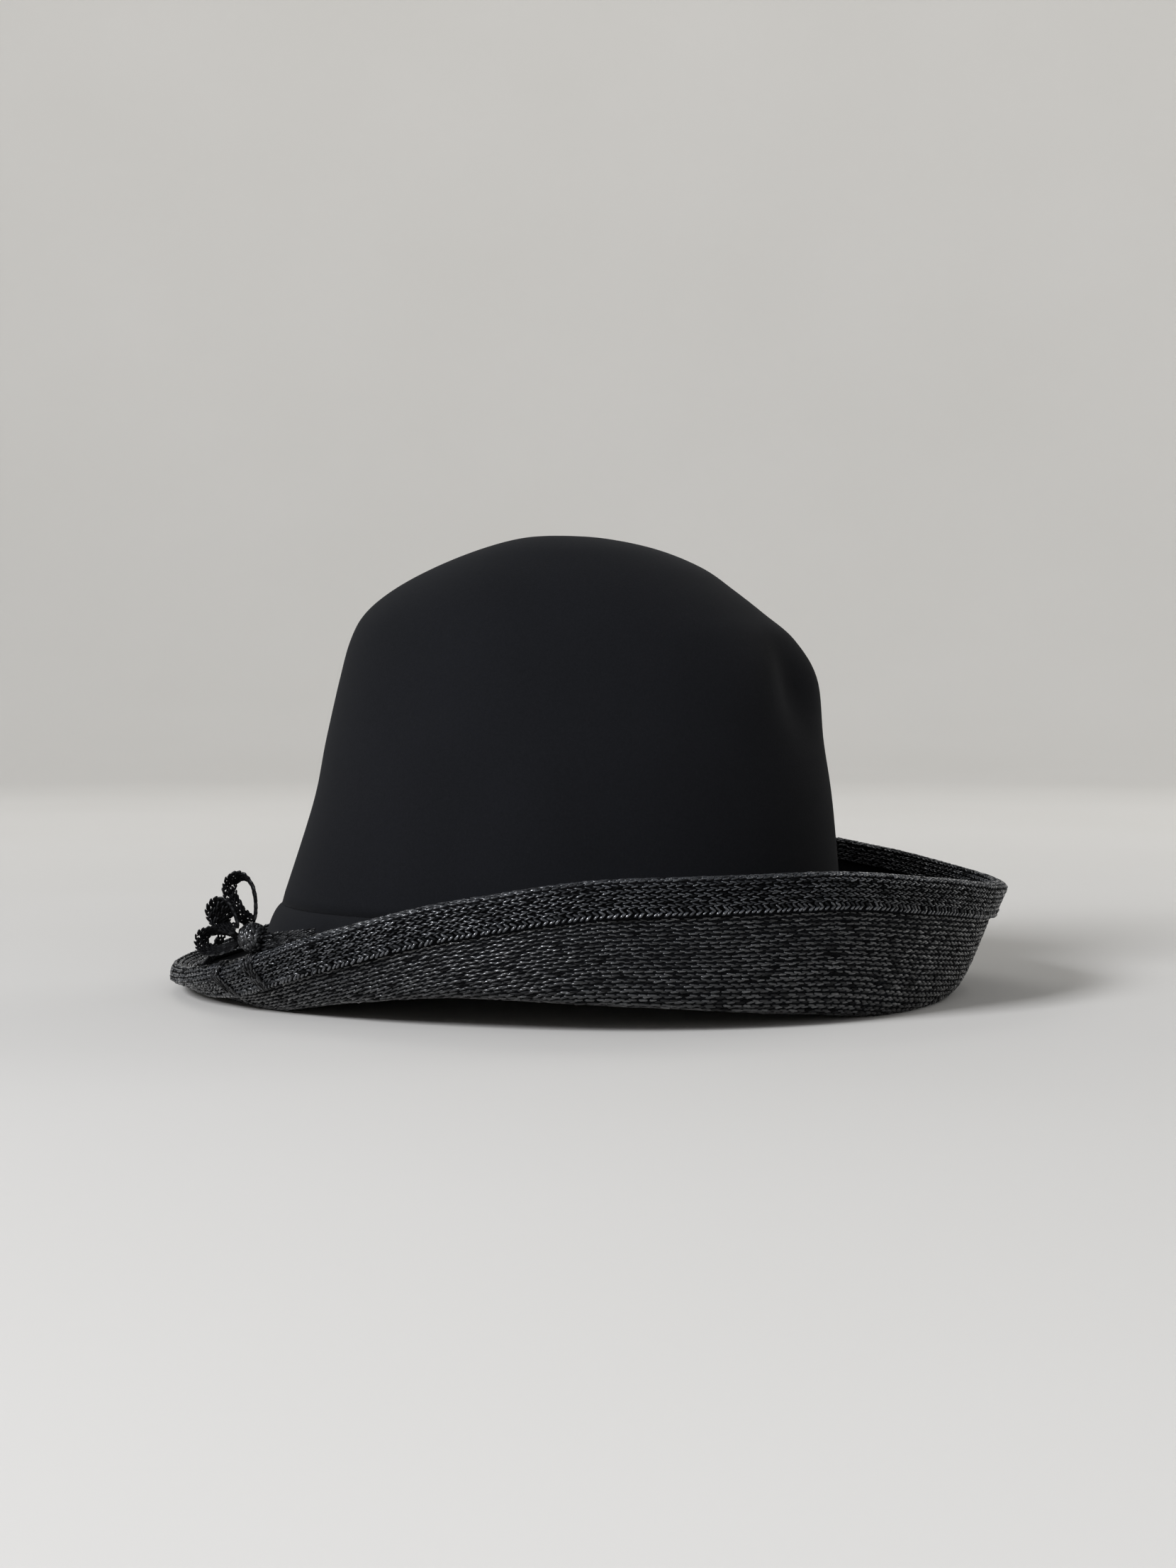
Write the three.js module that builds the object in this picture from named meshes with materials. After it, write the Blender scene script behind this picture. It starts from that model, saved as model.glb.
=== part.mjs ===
// Black felt hat with a tall domed crown, and a wide brim that dips, turns up at the front and sides and lies
// nearly flat at the back. A folded binding covers the edge of the brim and carries a small bow.
// Millimetres, +Z up. The front of the hat faces -Y and the wearer's right is -X.
import * as THREE from 'three';
import { mergeVertices } from 'three/addons/utils/BufferGeometryUtils.js';

const SEGMENTS = 64; // steps round the head
const GAP = 0.3; // clearance between pieces that touch

// Head line: the oval where the crown meets the brim
const HEAD_HALF_LENGTH = 96;
const HEAD_HALF_WIDTH = 84;
const HEAD_LINE_HEIGHT = 28; // under face of the brim there, above the surface that the hat rests on

// Crown
const CROWN_WALL = 2;
const CROWN_STEPS = 16; // rings from the rim to the top
const CROWN_TOP_SHIFT = 2; // the top lies a little behind the middle
const PINCH_DEPTH = 6; // dent on each side of the front
const PINCH_ANGLE = 24; // degrees from the front
const PINCH_SPREAD = 11; // degrees
const PINCH_HEIGHT = 104;
const PINCH_TALL = 15;

// Reach of the crown from the middle of the head line, from the rim to the top
const CROWN_SECTIONS = [
  { height: 30.5, front: 96, back: 96, side: 84 },
  { height: 64, front: 93, back: 85.2, side: 78 },
  { height: 85, front: 90, back: 80.8, side: 74.5 },
  { height: 106, front: 88, back: 75.9, side: 69.3 },
  { height: 119.5, front: 80.2, back: 72, side: 64.3 },
  { height: 128.5, front: 69.8, back: 66.8, side: 59.2 },
  { height: 136.5, front: 59.8, back: 57, side: 52.3 },
  { height: 144, front: 49.3, back: 43, side: 43 },
  { height: 150.3, front: 34.2, back: 27, side: 32.2 },
  { height: 154.1, front: 16.5, back: 12.6, side: 17.9 },
  { height: 155, front: 0, back: 0, side: 0 },
];

// Brim
const BRIM_WALL = 2.2;
const FOLD_FLAT = 3; // half the width of the flattened foot of the fold
const UNDER_STEPS = 5; // steps from the head line to the fold
const WALL_STEPS = 7; // steps from the fold to the binding
// Shares of the way from the head line to the fold that stay level and that flatten into the fold, and shares
// of the wall that roll out of the fold and that keep the slope of the edge
const LEVEL_SHARE = 0.45;
const FLATTEN_SHARE = 0.3;
const ROLL_SHARE = 0.2;
const FLARE_SHARE = 0.55;

// Sections of one half of the brim: degrees from the front, the fold's and the edge's reach and height,
// and the slope of the edge above level, which leans in towards the crown where it is past upright
const BRIM_SECTIONS = [
  { angle: 0, foldReach: 127, foldHeight: 0, edgeReach: 151, edgeHeight: 35.5, edgeSlope: 64 },
  { angle: 14, foldReach: 126, foldHeight: 0, edgeReach: 148, edgeHeight: 37, edgeSlope: 69 },
  { angle: 30, foldReach: 124, foldHeight: 0, edgeReach: 141, edgeHeight: 41.5, edgeSlope: 78 },
  { angle: 54, foldReach: 119, foldHeight: 4, edgeReach: 133.5, edgeHeight: 46.5, edgeSlope: 88 },
  { angle: 80, foldReach: 115, foldHeight: 8.5, edgeReach: 127.5, edgeHeight: 46, edgeSlope: 91 },
  { angle: 104, foldReach: 112, foldHeight: 10.5, edgeReach: 125.5, edgeHeight: 39, edgeSlope: 84 },
  { angle: 125, foldReach: 109, foldHeight: 6.5, edgeReach: 126.5, edgeHeight: 27, edgeSlope: 65 },
  { angle: 150, foldReach: 107, foldHeight: 0, edgeReach: 129.5, edgeHeight: 11.5, edgeSlope: 36 },
  { angle: 165, foldReach: 108, foldHeight: 0, edgeReach: 131.5, edgeHeight: 7, edgeSlope: 22 },
  { angle: 180, foldReach: 109, foldHeight: 0, edgeReach: 133, edgeHeight: 5.5, edgeSlope: 13 },
];

// Edge binding
const BINDING_WALL = 1.1;
const BINDING_GAP = 0.4; // clearance between the brim and the binding folded over it
const BINDING_STEP = 3.3; // the brim and the binding bend together at these distances from the edge
const BINDING_OUTER = 3 * BINDING_STEP; // width on the outer face
const BINDING_INNER = 2 * BINDING_STEP; // width on the inner face
const BINDING_ROUND = 0.9; // the folded edge is rounded off over this distance
const CORD_WIDTH = 2.2; // raised row along the lower margin of the outer face
const CORD_TOP = 0.9;
const CORD_RISE = 0.9;

// Bow, on top of the binding behind the wearer's right ear
const BOW_ANGLE = 139; // degrees from the front
const BOW_SWING = 20; // degrees that the loops swing out from the line of the edge
const STRIP_WALL = 1.3;
const KNOT_RADIUS = 5;
// Loops: degrees that they lean up from level, their length, width and strip, how far in towards the crown
// they lie from the knot, and the gaps through them
const LOOPS = [
  { name: 'bow_loop_upper', lean: 67, length: 15.5, width: 10, strip: 5, inward: 3, holes: 1 },
  { name: 'bow_loop_middle', lean: 40, length: 11, width: 8, strip: 5, inward: -3, holes: 3 },
  { name: 'bow_loop_back', lean: -6, length: 14.5, width: 7.5, strip: 5, inward: 0, holes: 1 },
];
const LOOP_BULGE = { at: 0.35, out: 0.6 }; // control of a loop's side, as shares of its length and width
const LOOP_END = 0.72; // roundness of a loop's end, as a share of its width
const LOOP_ROOT = 0.3; // share of a loop's length that stays solid at its root
const HOLE_WIDTH = { narrow: 0.55, widen: 0.3 }; // share of a loop's inside that a gap takes
const CURVE_STEPS = 6;
const KNOT_STEPS = { round: 14, tall: 9 };
const STRAND_LENGTH = 22;
const STRAND_STRIP = 5; // stands on edge, and narrows towards its end
const STRAND_END = 1.6;
const TAIL_START = 18; // distance along the edge from the knot to the tail's upper end
const TAIL_LENGTH = 12;
const TAIL_DROP = 8;
const TAIL_STRIP = 3.4;

const FELT = { color: 0x1c1d21, roughness: 0.95, metalness: 0 };
const BRAID = { color: 0x1d1e20, roughness: 0.4, metalness: 0 };
const BINDING = { color: 0x2b2d31, roughness: 0.35, metalness: 0 };
const OPEN_BRAID = { color: 0x242528, roughness: 0.4, metalness: 0 };

const { degToRad, radToDeg } = THREE.MathUtils;

// A table's column at the given angle from the front, on a smooth curve that never overshoots its rows.
// Both halves of the hat share the table.
function atAngle(rows, column, turn) {
  const x = Math.abs(radToDeg(Math.atan2(Math.sin(turn), Math.cos(turn))));
  const last = rows.length - 1;
  const found = rows.findIndex((row) => row.angle > x);
  const i = found < 0 ? last - 1 : found - 1;
  const rise = (n) => (rows[n + 1][column] - rows[n][column]) / (rows[n + 1].angle - rows[n].angle);
  const slope = (n) => {
    if (n === 0 || n === last || rise(n - 1) * rise(n) <= 0) return 0;
    return 2 / (1 / rise(n - 1) + 1 / rise(n));
  };
  const span = rows[i + 1].angle - rows[i].angle;
  const u = (x - rows[i].angle) / span;
  const ease = u * u * (3 - 2 * u);
  const leave = slope(i) * span * u * (1 - u) * (1 - u);
  const arrive = slope(i + 1) * span * u * u * (1 - u);
  return rows[i][column] + ease * (rows[i + 1][column] - rows[i][column]) + leave - arrive;
}

// Point at a reach and height, at an angle from the front towards the wearer's right.
function around(turn, reach, height) {
  return new THREE.Vector3(-Math.sin(turn) * reach, -Math.cos(turn) * reach, height);
}

// Closed ring whose section changes round the head: a turned section with each vertex moved to its own place.
function ringGeometry(sectionAt) {
  const first = sectionAt(0);
  const geometry = new THREE.LatheGeometry([...first, first[0]], SEGMENTS);
  const rows = first.length + 1;
  for (let i = 0; i <= SEGMENTS; i += 1) {
    const turn = (i % SEGMENTS) * (2 * Math.PI / SEGMENTS);
    const section = sectionAt(turn);
    for (let j = 0; j < rows; j += 1) {
      const { x, y } = section[j % first.length];
      const place = around(turn, x, y);
      geometry.attributes.position.setXYZ(i * rows + j, place.x, place.y, place.z);
    }
  }
  return geometry;
}

function headReach(turn) {
  return 1 / Math.hypot(Math.sin(turn) / HEAD_HALF_WIDTH, Math.cos(turn) / HEAD_HALF_LENGTH);
}

// Outer and under face of the brim at one angle: a curve from the head line to the fold, and one from the
// fold to the edge. x is the reach and y the height.
function brimCurves(turn) {
  const column = (name) => atAngle(BRIM_SECTIONS, name, turn);
  const head = new THREE.Vector2(headReach(turn) - CROWN_WALL, HEAD_LINE_HEIGHT);
  const fold = new THREE.Vector2(column('foldReach'), column('foldHeight'));
  const foldStart = new THREE.Vector2(fold.x - FOLD_FLAT, fold.y);
  const foldEnd = new THREE.Vector2(fold.x + FOLD_FLAT, fold.y);
  const edge = new THREE.Vector2(column('edgeReach'), column('edgeHeight'));
  const across = foldStart.x - head.x;
  const under = new THREE.CubicBezierCurve(
    head,
    new THREE.Vector2(head.x + across * LEVEL_SHARE, head.y),
    new THREE.Vector2(foldStart.x - across * FLATTEN_SHARE, foldStart.y),
    foldStart,
  );
  const chord = foldEnd.distanceTo(edge);
  const slope = degToRad(column('edgeSlope'));
  const flare = new THREE.Vector2(Math.cos(slope), Math.sin(slope)).multiplyScalar(chord * FLARE_SHARE);
  const wall = new THREE.CubicBezierCurve(
    foldEnd,
    new THREE.Vector2(foldEnd.x + chord * ROLL_SHARE, foldEnd.y),
    edge.clone().sub(flare),
    edge,
  );
  return { under, wall };
}

// Direction that points out of the outer and under face, square to the curve.
function outward(curve, u) {
  const along = curve.getTangent(u);
  return new THREE.Vector2(along.y, -along.x);
}

// Point beside the wall of the brim: a distance in from the edge along its outer face, and an offset out.
function besideEdge(turn, inset, offset) {
  const { wall } = brimCurves(turn);
  const u = 1 - Math.max(inset, 0) / wall.getLength();
  const past = wall.getTangent(1).multiplyScalar(Math.max(-inset, 0));
  const point = wall.getPointAt(u).add(past);
  return point.addScaledVector(outward(wall, wall.getUtoTmapping(u)), offset);
}

// Outline of the brim's felt at one angle, with points on the wall where the binding bends.
function brimSection(turn) {
  const { under, wall } = brimCurves(turn);
  const outer = [];
  const inner = [];
  for (let k = 0; k <= UNDER_STEPS; k += 1) {
    const u = k / UNDER_STEPS;
    const point = under.getPoint(u);
    outer.unshift(point);
    inner.push(point.clone().addScaledVector(outward(under, u), -BRIM_WALL));
  }
  const open = wall.getLength() - BINDING_OUTER;
  const insets = [2 * BINDING_STEP, BINDING_STEP, 0];
  for (let k = 0; k <= WALL_STEPS; k += 1) insets.unshift(BINDING_OUTER + open * (k / WALL_STEPS));
  for (const inset of insets) {
    outer.unshift(besideEdge(turn, inset, 0));
    inner.push(besideEdge(turn, inset, -BRIM_WALL));
  }
  return [...inner, ...outer];
}

// Folded strip round the edge, with the raised cord-like row at the end of its outer leg.
function bindingSection(turn) {
  const outerFace = BINDING_GAP + BINDING_WALL;
  const innerGap = -BRIM_WALL - BINDING_GAP;
  const innerFace = innerGap - BINDING_WALL;
  const tip = -BINDING_GAP - BINDING_WALL;
  const cordMiddle = BINDING_OUTER - CORD_WIDTH / 2;
  const corners = [
    [tip, outerFace - BINDING_ROUND],
    [tip + BINDING_ROUND, outerFace],
    [BINDING_STEP, outerFace],
    [BINDING_OUTER - CORD_WIDTH, outerFace],
    [cordMiddle - CORD_TOP / 2, outerFace + CORD_RISE],
    [cordMiddle + CORD_TOP / 2, outerFace + CORD_RISE],
    [BINDING_OUTER, outerFace],
    [BINDING_OUTER, BINDING_GAP],
    [2 * BINDING_STEP, BINDING_GAP],
    [BINDING_STEP, BINDING_GAP],
    [-BINDING_GAP, BINDING_GAP],
    [-BINDING_GAP, innerGap],
    [BINDING_STEP, innerGap],
    [BINDING_INNER, innerGap],
    [BINDING_INNER, innerFace],
    [tip + BINDING_ROUND, innerFace],
    [tip, innerFace + BINDING_ROUND],
  ];
  return corners.map(([inset, offset]) => besideEdge(turn, inset, offset));
}

// Depth of the pinch in the front of the crown at one angle and height.
function pinch(turn, height) {
  const fromFront = Math.abs(radToDeg(Math.atan2(Math.sin(turn), Math.cos(turn))));
  const aside = (fromFront - PINCH_ANGLE) / PINCH_SPREAD;
  const above = (height - PINCH_HEIGHT) / PINCH_TALL;
  return PINCH_DEPTH * Math.exp(-aside * aside - above * above);
}

// Hollow dome: out and down from the top to the rim, then up again inside.
function crownGeometry() {
  const column = (name) => {
    const points = CROWN_SECTIONS.map((row) => new THREE.Vector2(row[name], row.height));
    return new THREE.SplineCurve(points).getPoints(CROWN_STEPS);
  };
  const reaches = { front: column('front'), back: column('back'), side: column('side') };
  const rings = [];
  for (let k = CROWN_STEPS; k >= 0; k -= 1) rings.push({ k, inset: 0 });
  for (let k = 0; k <= CROWN_STEPS; k += 1) rings.push({ k, inset: CROWN_WALL });
  const place = ({ k, inset }, turn) => {
    const towardsFront = Math.cos(turn) >= 0;
    const length = (towardsFront ? reaches.front : reaches.back)[k].x;
    const { x: width, y: height } = reaches.side[k];
    const rise = k / CROWN_STEPS;
    const atTop = k === CROWN_STEPS;
    const dent = inset + pinch(turn, height);
    const x = atTop ? 0 : -Math.sin(turn) * (width - dent);
    const y = atTop ? 0 : -Math.cos(turn) * (length - dent);
    return new THREE.Vector3(x, y + CROWN_TOP_SHIFT * rise * rise, height - inset * rise);
  };
  const profile = rings.map((ring) => {
    const front = place(ring, 0);
    return new THREE.Vector2(ring.k === CROWN_STEPS ? 0 : -front.y, front.z);
  });
  const geometry = new THREE.LatheGeometry(profile, SEGMENTS);
  for (let i = 0; i <= SEGMENTS; i += 1) {
    const turn = (i % SEGMENTS) * (2 * Math.PI / SEGMENTS);
    rings.forEach((ring, j) => {
      const { x, y, z } = place(ring, turn);
      geometry.attributes.position.setXYZ(i * rings.length + j, x, y, z);
    });
  }
  return geometry;
}

// Top of the binding at one angle: the reach of its middle and the height of its highest corner.
function bindingTop(turn) {
  const corners = bindingSection(turn);
  const middle = besideEdge(turn, 0, -BRIM_WALL / 2);
  return new THREE.Vector2(middle.x, Math.max(...corners.map((corner) => corner.y)));
}

// Place along the edge: a distance back from the knot, a height above the binding, and a distance in.
function alongEdge(along, height, inward) {
  const start = degToRad(BOW_ANGLE);
  const turn = start + along / bindingTop(start).x;
  const top = bindingTop(turn);
  return around(turn, top.x - inward, top.y + height);
}

// Moves a geometry drawn in the bow's own directions onto the edge of the brim, and bends it along the edge.
function bendOntoEdge(geometry) {
  const { position } = geometry.attributes;
  for (let i = 0; i < position.count; i += 1) {
    const place = alongEdge(position.getX(i), position.getY(i), position.getZ(i));
    position.setXYZ(i, place.x, place.y, place.z);
  }
  return geometry;
}

// Moves a geometry drawn in the bow's own directions to the knot's place, and keeps it straight.
function setOnEdge(geometry) {
  const upright = new THREE.Vector3(0, 0, 1);
  const back = alongEdge(1, 0, 0).sub(alongEdge(-1, 0, 0)).setZ(0).normalize();
  back.applyAxisAngle(upright, degToRad(BOW_SWING));
  const inward = back.clone().cross(upright);
  const frame = new THREE.Matrix4().makeBasis(back, upright, inward);
  return geometry.applyMatrix4(frame.setPosition(alongEdge(0, 0, 0)));
}

// Teardrop from a narrow root at the origin to a round end.
function teardrop(path, length, width, root) {
  path.moveTo(0, -root);
  const side = { x: length * LOOP_BULGE.at, y: width * LOOP_BULGE.out };
  const end = width * LOOP_END;
  path.bezierCurveTo(side.x, -side.y, length, -end, length, 0);
  path.bezierCurveTo(length, end, side.x, side.y, 0, root);
  path.closePath();
  return path;
}

// Gaps through a loop, in a row along it.
function loopHoles({ length, width, holes }) {
  const start = length * LOOP_ROOT;
  const bridge = holes > 1 ? STRIP_WALL : 0;
  const pitch = (length - STRIP_WALL - start) / holes;
  return Array.from({ length: holes }, (_, n) => {
    const hole = new THREE.Path();
    const middle = start + pitch * (n + 0.5);
    const halfHeight = (width / 2 - STRIP_WALL) * (HOLE_WIDTH.narrow + HOLE_WIDTH.widen * (middle / length));
    hole.absellipse(middle, 0, (pitch - bridge) / 2, halfHeight, 0, 2 * Math.PI);
    return hole;
  });
}

function loopGeometry(loop) {
  const outline = teardrop(new THREE.Shape(), loop.length, loop.width, STRIP_WALL);
  outline.holes = loopHoles(loop);
  const settings = { depth: loop.strip, bevelEnabled: false, curveSegments: CURVE_STEPS };
  const geometry = new THREE.ExtrudeGeometry(outline, settings);
  geometry.translate(KNOT_RADIUS + GAP, 0, loop.inward - loop.strip / 2);
  geometry.rotateZ(degToRad(loop.lean));
  geometry.translate(0, KNOT_RADIUS + GAP, 0);
  return setOnEdge(geometry);
}

function knotGeometry() {
  const geometry = new THREE.SphereGeometry(KNOT_RADIUS, KNOT_STEPS.round, KNOT_STEPS.tall);
  geometry.translate(0, KNOT_RADIUS + GAP, 0);
  return setOnEdge(geometry);
}

// End of the strip that runs forward along the binding from the knot.
function strandGeometry() {
  const steps = 6;
  const geometry = new THREE.BoxGeometry(STRAND_LENGTH, 1, STRIP_WALL, steps);
  const { position } = geometry.attributes;
  for (let i = 0; i < position.count; i += 1) {
    const share = position.getX(i) / STRAND_LENGTH + 0.5;
    const tall = STRAND_END + (STRAND_STRIP - STRAND_END) * share;
    position.setY(i, (position.getY(i) + 0.5) * tall);
  }
  geometry.translate(-KNOT_RADIUS - GAP - STRAND_LENGTH / 2, GAP, 0);
  return bendOntoEdge(geometry);
}

// Thin end of the strip that drops from under the back loop to the binding.
function tailGeometry() {
  const steps = 4;
  const geometry = new THREE.BoxGeometry(TAIL_LENGTH, STRIP_WALL, TAIL_STRIP, steps);
  const { position } = geometry.attributes;
  for (let i = 0; i < position.count; i += 1) {
    const share = 0.5 - position.getX(i) / TAIL_LENGTH;
    position.setY(i, position.getY(i) + TAIL_DROP * share * share);
  }
  geometry.translate(TAIL_START + TAIL_LENGTH / 2, GAP + STRIP_WALL / 2, 0);
  return bendOntoEdge(geometry);
}

// Mesh with its shared vertices merged.
function piece(name, geometry, finish) {
  geometry.deleteAttribute('normal');
  geometry.deleteAttribute('uv');
  const mesh = new THREE.Mesh(mergeVertices(geometry), new THREE.MeshStandardMaterial(finish));
  mesh.name = name;
  return mesh;
}

const hat = new THREE.Group();
hat.add(
  piece('crown', crownGeometry(), FELT),
  piece('brim', ringGeometry(brimSection), BRAID),
  piece('edge_binding', ringGeometry(bindingSection), BINDING),
  piece('bow_knot', knotGeometry(), OPEN_BRAID),
  ...LOOPS.map((loop) => piece(loop.name, loopGeometry(loop), OPEN_BRAID)),
  piece('bow_strand', strandGeometry(), OPEN_BRAID),
  piece('bow_tail', tailGeometry(), OPEN_BRAID),
);

// Origin under the middle of the whole hat, on the surface that it rests on
const box = new THREE.Box3().setFromObject(hat);
const middle = box.getCenter(new THREE.Vector3());
hat.position.set(-middle.x, -middle.y, -box.min.z);

export default hat;
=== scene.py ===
"""Looks of a black felt hat whose brim is faced with rows of sewn braid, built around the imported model."""

import logging
import math
from dataclasses import dataclass, field
from enum import Enum
from typing import Any, Sequence

import bmesh
import bpy
import numpy as np
from mathutils import Matrix, Vector


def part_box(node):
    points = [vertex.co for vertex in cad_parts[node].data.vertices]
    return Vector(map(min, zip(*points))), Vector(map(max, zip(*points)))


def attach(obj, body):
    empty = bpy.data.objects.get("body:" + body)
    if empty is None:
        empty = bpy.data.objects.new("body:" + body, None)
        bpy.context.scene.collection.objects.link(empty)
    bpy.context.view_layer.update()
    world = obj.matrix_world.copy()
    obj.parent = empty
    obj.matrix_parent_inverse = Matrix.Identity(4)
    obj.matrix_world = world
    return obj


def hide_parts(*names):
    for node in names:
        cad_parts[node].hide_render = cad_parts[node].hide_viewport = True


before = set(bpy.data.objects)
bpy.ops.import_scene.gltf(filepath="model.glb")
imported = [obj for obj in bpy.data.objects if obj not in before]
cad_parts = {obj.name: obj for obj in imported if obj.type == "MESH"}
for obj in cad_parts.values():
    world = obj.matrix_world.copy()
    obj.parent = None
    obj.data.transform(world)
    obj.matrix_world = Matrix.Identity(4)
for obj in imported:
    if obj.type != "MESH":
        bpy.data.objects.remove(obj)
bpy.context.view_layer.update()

logging.basicConfig(level=logging.INFO, format="%(message)s")
log = logging.getLogger("hat")

Array = np.ndarray
Point = tuple[float, float, float]
MM = 0.001
FULL_TURN = 2 * math.pi
MERGE_MM = 1e-4  # points closer than this become one
BODY = "root"


def linear(hex_colour: str) -> tuple[float, float, float, float]:
    """Turns an sRGB hex colour to linear values.

    Args:
        hex_colour: Six hex digits after a hash sign.

    Returns:
        Linear red, green and blue, and an alpha of 1.
    """
    levels = [int(hex_colour[i:i + 2], 16) / 255 for i in (1, 3, 5)]
    red, green, blue = (v / 12.92 if v <= 0.04045 else ((v + 0.055) / 1.055) ** 2.4 for v in levels)
    return red, green, blue, 1.0


def fill_inputs(tree: bpy.types.NodeTree, node: bpy.types.Node, inputs: dict[str, Any]) -> None:
    """Links or fills inputs of a node.

    Args:
        tree: Node tree that holds the node.
        node: The node.
        inputs: Input names, each with a socket to link from or a value.
    """
    for name, value in inputs.items():
        if isinstance(value, bpy.types.NodeSocket):
            tree.links.new(value, node.inputs[name])
        else:
            node.inputs[name].default_value = value


def add_node(
    tree: bpy.types.NodeTree,
    kind: str,
    settings: dict[str, Any] | None = None,
    inputs: dict[str, Any] | None = None,
) -> bpy.types.Node:
    """Adds a node with its settings, and links or fills its inputs.

    Args:
        tree: Node tree that takes the node.
        kind: Blender's type name of the node.
        settings: Attributes of the node and their values.
        inputs: Input names, each with a socket to link from or a value.

    Returns:
        The new node.
    """
    node = tree.nodes.new(kind)
    for name, value in (settings or {}).items():
        setattr(node, name, value)
    fill_inputs(tree, node, inputs or {})
    return node


def start_material(name: str) -> tuple[bpy.types.Material, bpy.types.NodeTree, bpy.types.Node]:
    """Starts a material with the plain shader.

    Args:
        name: Name of the material.

    Returns:
        The material, its node tree and its shader.
    """
    material = bpy.data.materials.new(name)
    material.use_nodes = True
    return material, material.node_tree, material.node_tree.nodes["Principled BSDF"]


def unit(vectors: Array) -> Array:
    """Scales each row to a length of one."""
    return vectors / np.linalg.norm(vectors, axis=-1, keepdims=True)


def distances(points: Array) -> Array:
    """Gives how far along a line each of its points lies."""
    return np.concatenate([[0.0], np.cumsum(np.linalg.norm(np.diff(points, axis=0), axis=1))])


def degrees_from_front(turn: Array) -> Array:
    """Gives how far from the front angles lie, in degrees, the same to both sides."""
    return np.abs(np.degrees(np.arctan2(np.sin(turn), np.cos(turn))))


def bezier(points: Array, shares: Array) -> Array:
    """Samples cubic curves.

    Args:
        points: Four control points of each curve, as (curves, 4, 2).
        shares: Places along the curves, from 0 to 1.

    Returns:
        The samples, as (curves, shares, 2).
    """
    u = shares[None, :, None]
    a, b, c, d = (points[:, None, k] for k in range(4))
    return a * (1 - u) ** 3 + 3 * b * u * (1 - u) ** 2 + 3 * c * u ** 2 * (1 - u) + d * u ** 3


@dataclass(frozen=True)
class WoolFelt:
    """Blocked wool felt, pressed matt: even and near black, with a short nap and a faint grey sheen."""

    name: str = "wool_felt_black"
    dark: str = "#0d0e10"
    light: str = "#141518"
    dark_below: float = 0.25
    light_above: float = 0.75
    nap_mm: float = 0.7
    nap_depth_mm: float = 0.12
    nap_strength: float = 0.6
    mottle_mm: float = 35.0
    mottle_share: float = 0.3
    roughness: float = 0.95
    specular: float = 0.08
    sheen: float = 0.015
    sheen_roughness: float = 0.5

    def material(self) -> bpy.types.Material:
        """Builds the felt.

        Returns:
            The material.
        """
        material, tree, shader = start_material(self.name)
        place = add_node(tree, "ShaderNodeTexCoord").outputs["Object"]
        # Hairs of the nap, and soft clouds where the felt was brushed one way or the other
        nap = add_node(tree, "ShaderNodeTexNoise", inputs={
            "Vector": place, "Scale": 1 / (self.nap_mm * MM), "Detail": 4.0, "Roughness": 0.65})
        mottle = add_node(tree, "ShaderNodeTexNoise", inputs={
            "Vector": place, "Scale": 1 / (self.mottle_mm * MM), "Detail": 1.0})
        both = add_node(tree, "ShaderNodeMix", inputs={
            "Factor": self.mottle_share, "A": nap.outputs["Fac"], "B": mottle.outputs["Fac"]})
        colour = add_node(tree, "ShaderNodeValToRGB", inputs={"Fac": both.outputs["Result"]})
        colour.color_ramp.elements[0].position = self.dark_below
        colour.color_ramp.elements[0].color = linear(self.dark)
        colour.color_ramp.elements[1].position = self.light_above
        colour.color_ramp.elements[1].color = linear(self.light)
        bump = add_node(tree, "ShaderNodeBump", inputs={
            "Height": nap.outputs["Fac"], "Distance": self.nap_depth_mm * MM, "Strength": self.nap_strength})
        fill_inputs(tree, shader, {
            "Base Color": colour.outputs["Color"], "Normal": bump.outputs["Normal"],
            "Roughness": self.roughness, "Specular IOR Level": self.specular,
            "Sheen Weight": self.sheen, "Sheen Roughness": self.sheen_roughness})
        return material


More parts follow.
